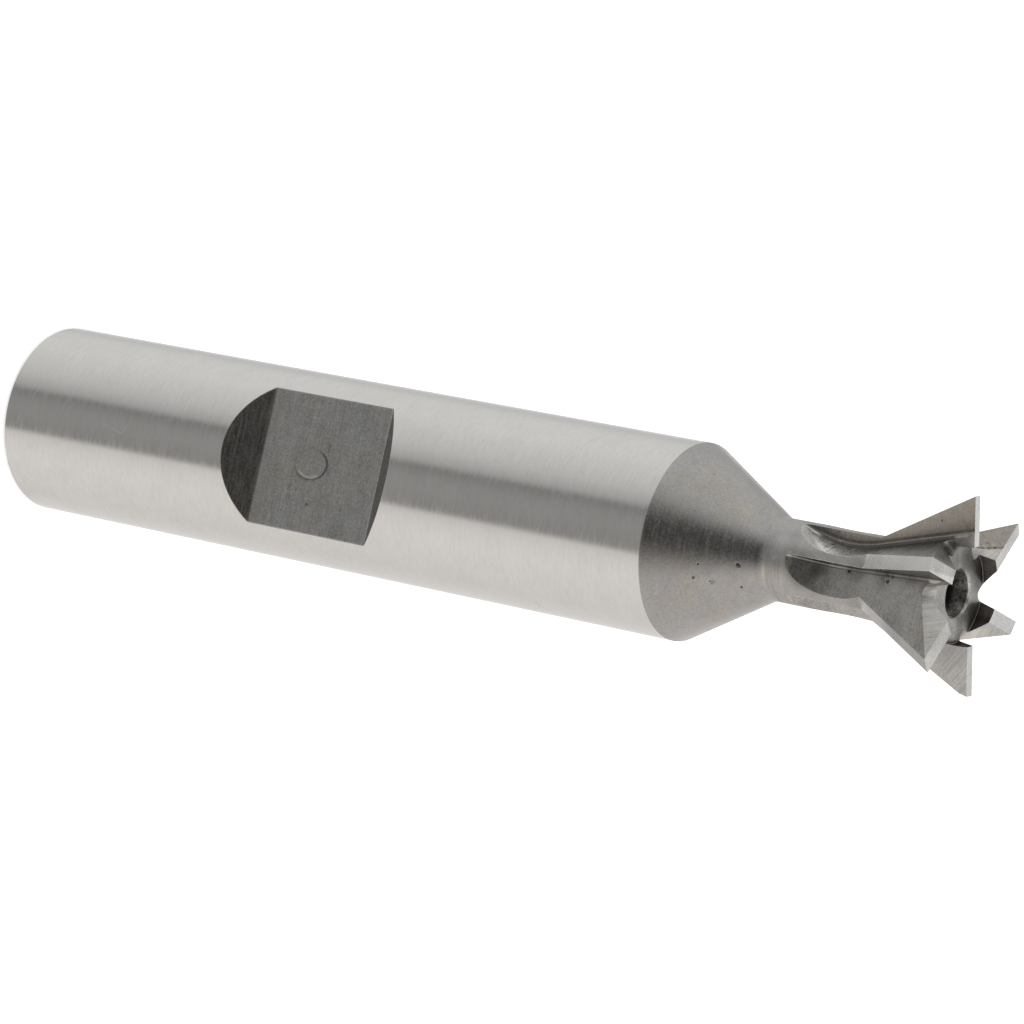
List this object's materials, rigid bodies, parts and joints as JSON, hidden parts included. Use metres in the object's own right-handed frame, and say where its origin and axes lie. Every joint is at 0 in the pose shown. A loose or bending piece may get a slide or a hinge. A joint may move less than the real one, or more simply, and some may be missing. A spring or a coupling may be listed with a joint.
{
  "type": "dovetail cutter",
  "caption": "Small dovetail cutter: straight round shank with a locking flat, a slim neck and a cone of teeth that widens to the recessed end, for undercut slots.",
  "frame": {"origin": "centre of the shank's end, on the tool's axis", "axes": "+Z along the tool's axis from the shank to the teeth, +Y out of the locking flat"},
  "size_m": [0.0096, 0.0096, 0.054],
  "materials": {
    "tool_steel": "bare tool steel: ground shank and lands, milled flutes"
  },
  "bodies": {
    "root": {"dovetail_cutter": "tool_steel"}
  },
  "joints": []
}
